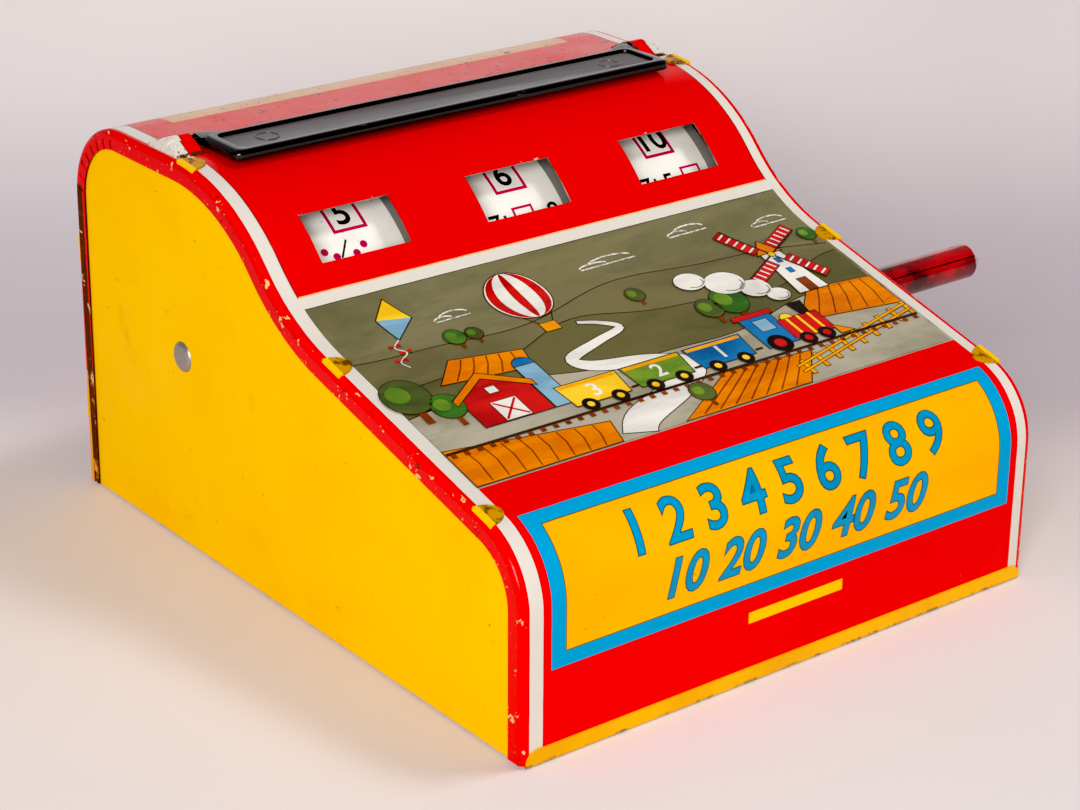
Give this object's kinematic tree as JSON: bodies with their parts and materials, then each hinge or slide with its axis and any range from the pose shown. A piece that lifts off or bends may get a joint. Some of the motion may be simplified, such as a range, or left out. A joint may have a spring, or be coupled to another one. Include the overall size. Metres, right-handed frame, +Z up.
{
  "type": "adding machine",
  "caption": "Tinplate toy adding machine with a side lever that steps a drum of number bands behind windows, and a hinged flap over the answers.",
  "frame": {"origin": "centre of the base plate's underside", "axes": "+X to the user's right, towards the lever; -Y towards the user; +Z up, away from the table"},
  "size_m": [0.2335, 0.2182, 0.1214],
  "materials": {
    "case_print": "gloss litho print",
    "panel_yellow": "gloss litho print",
    "flap_plastic": "glossy moulded",
    "bright_steel": "dull bright",
    "spring_steel": "oiled",
    "tinplate": "bare tinplate",
    "band_white": "satin white print",
    "arm_red": "gloss enamel",
    "grip_red": "gloss enamel"
  },
  "bodies": {
    "case": {"case_shell": "case_print", "left_side_panel": "panel_yellow", "right_side_panel": "panel_yellow", "base_plate": "panel_yellow", "drum_axle": "bright_steel", "axle_spacer": "bright_steel", "axle_cap_washer": "bright_steel", "spring_anchor_stud": "bright_steel", "lever_stop_studs": "bright_steel", "drum_drag_spring": "spring_steel", "drag_spring_rivet": "bright_steel", "lever_return_spring": "spring_steel"},
    "flap": {"answer_flap": "flap_plastic"},
    "drum": {"drum_tube": "tinplate", "drum_core": "tinplate", "drum_end_disc_left": "tinplate", "drum_end_disc_right": "tinplate", "number_wheel_left": "band_white", "number_wheel_centre": "band_white", "number_wheel_right": "band_white", "ratchet_wheel": "bright_steel"},
    "lever": {"lever_hub": "bright_steel", "drive_plate": "bright_steel", "lever_arm": "arm_red", "lever_grip": "grip_red", "pawl_pin": "bright_steel", "pawl_spring": "spring_steel", "pawl_spring_post": "bright_steel", "spring_peg": "bright_steel"},
    "pawl": {"pawl": "bright_steel"}
  },
  "joints": [
    {"name": "flap_lift", "type": "hinge", "parent": "case", "child": "flap", "pos_m": [0, 0.0575, 0.1194], "axis": [-1, 0, 0], "range_deg": [0, 105]},
    {"name": "lever_pull", "type": "hinge", "parent": "case", "child": "lever", "pos_m": [0.0928, 0.0495, 0.0594], "axis": [1, 0, 0], "range_deg": [0, 32], "stiffness_Nm_per_rad": 0.06, "springref_deg": -40.11, "deforming": ["lever_return_spring"]},
    {"name": "drum_turn", "type": "hinge", "parent": "case", "child": "drum", "pos_m": [0, 0.0495, 0.0594], "axis": [1, 0, 0], "continuous": true},
    {"name": "pawl_lift", "type": "hinge", "parent": "lever", "child": "pawl", "pos_m": [0.07525, 0.06342, 0.08282], "axis": [-1, 0, 0], "range_deg": [0, 13], "stiffness_Nm_per_rad": 0.002, "springref_deg": -28.65, "deforming": ["pawl_spring"]}
  ],
  "couplings": [
    {"joint": "drum_turn", "follows": "lever_pull", "ratio": 1}
  ]
}
